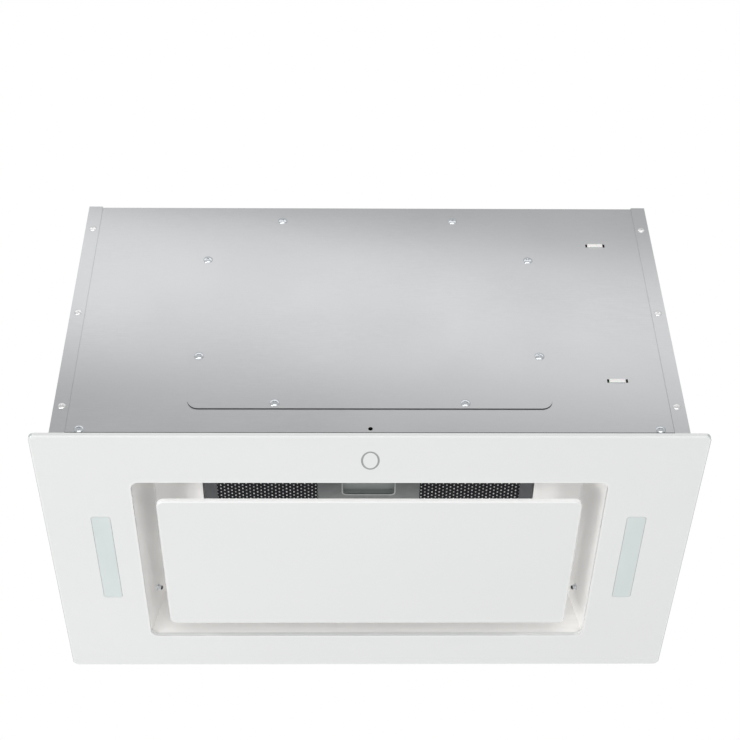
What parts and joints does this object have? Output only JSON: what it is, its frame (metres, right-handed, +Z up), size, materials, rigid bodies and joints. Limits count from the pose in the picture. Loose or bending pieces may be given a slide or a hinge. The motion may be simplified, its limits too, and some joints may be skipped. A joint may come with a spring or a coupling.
{
  "type": "ceiling range hood",
  "caption": "Flush ceiling hood: white glass frame with side lamps and a touch mark, hinged centre glass over a recessed filter, tall sheet-steel housing with blower and duct collar.",
  "frame": {"origin": "centre of the glass frame in the ceiling plane, which is the top face of the glass overhang that the ceiling touches", "axes": "+Z up into the ceiling void, +X to the right and -Y towards the front, the side with the touch mark and the access plate"},
  "size_m": [0.72, 0.414, 0.4525],
  "materials": {
    "white_glass": "back-painted white, polished",
    "adhesive": "matt",
    "galvanised": "galvanised, satin",
    "pale_steel": "stainless, satin",
    "zinc_fastener": "zinc plated",
    "nylon": "natural white",
    "cable_sleeve": "matt",
    "frosted_lens": "frosted",
    "circuit_board": "solder mask",
    "sensor_foam": "conductive foam",
    "black_plastic": "moulded",
    "grey_plastic": "moulded",
    "motor_alloy": "die cast",
    "magnet": "sintered",
    "dark_filter": "satin dark grey",
    "filter_aluminium": "expanded mesh"
  },
  "bodies": {
    "hood": {"glass_frame": "white_glass", "glass_bond": "adhesive", "base_pan": "galvanised", "housing_front": "galvanised", "housing_back": "galvanised", "housing_left_side": "galvanised", "housing_right_side": "galvanised", "housing_top": "galvanised", "access_plate": "galvanised", "hanging_plates": "galvanised", "blower_wrap": "galvanised", "blower_front_plate": "galvanised", "blower_back_plate": "galvanised", "outlet_collar": "galvanised", "hinge_brackets": "galvanised", "catch_brackets": "galvanised", "filter_seat": "galvanised", "motor_bracket": "galvanised", "lamp_tray_left": "galvanised", "lamp_tray_right": "galvanised", "recess_tray": "pale_steel", "recess_side_walls": "pale_steel", "access_plate_screws": "zinc_fastener", "base_screws": "zinc_fastener", "collar_screws": "zinc_fastener", "motor_screws": "zinc_fastener", "tray_rivet_nuts": "zinc_fastener", "housing_rivets": "zinc_fastener", "cable_ties": "nylon", "wiring_harness": "cable_sleeve", "lamp_lens_left": "frosted_lens", "lamp_lens_right": "frosted_lens", "led_board_left": "circuit_board", "led_board_right": "circuit_board", "touch_board": "circuit_board", "control_board": "circuit_board", "touch_sensor_pad": "sensor_foam", "touch_board_cover": "black_plastic", "control_box": "black_plastic", "control_box_lid": "black_plastic", "supply_gland": "black_plastic", "handle_plate": "grey_plastic", "run_capacitor": "grey_plastic", "capacitor_clip": "grey_plastic", "motor": "motor_alloy", "catch_magnets": "magnet", "filter_frame": "dark_filter", "filter_face": "dark_filter", "filter_mesh": "filter_aluminium", "filter_back": "filter_aluminium"},
    "filter_latch_slide": {"filter_latch": "black_plastic"},
    "fan_wheel": {"impeller": "black_plastic", "motor_shaft": "zinc_fastener"},
    "left_flap": {"damper_flap_left": "black_plastic"},
    "right_flap": {"damper_flap_right": "black_plastic"},
    "centre_panel": {"centre_glass": "white_glass", "panel_bond": "adhesive", "panel_carrier": "galvanised", "hinge_pins": "zinc_fastener", "strike_plates": "zinc_fastener"}
  },
  "joints": [
    {"name": "panel_hinge", "type": "hinge", "parent": "hood", "child": "centre_panel", "pos_m": [0, 0.108, 0.012], "axis": [1, 0, 0], "range_deg": [0, 90]},
    {"name": "latch_slide", "type": "slide", "parent": "hood", "child": "filter_latch_slide", "axis": [0, 1, 0], "range_m": [0, 0.006], "stiffness_N_per_m": 300, "springref_m": -0.004},
    {"name": "fan_spin", "type": "hinge", "parent": "hood", "child": "fan_wheel", "pos_m": [-0.082, 0, 0.222], "axis": [0, 1, 0], "continuous": true},
    {"name": "left_flap_hinge", "type": "hinge", "parent": "hood", "child": "left_flap", "pos_m": [-0.004, 0, 0.3885], "axis": [0, 1, 0], "range_deg": [0, 80]},
    {"name": "right_flap_hinge", "type": "hinge", "parent": "hood", "child": "right_flap", "pos_m": [0.004, 0, 0.3885], "axis": [0, -1, 0], "range_deg": [0, 80]}
  ]
}
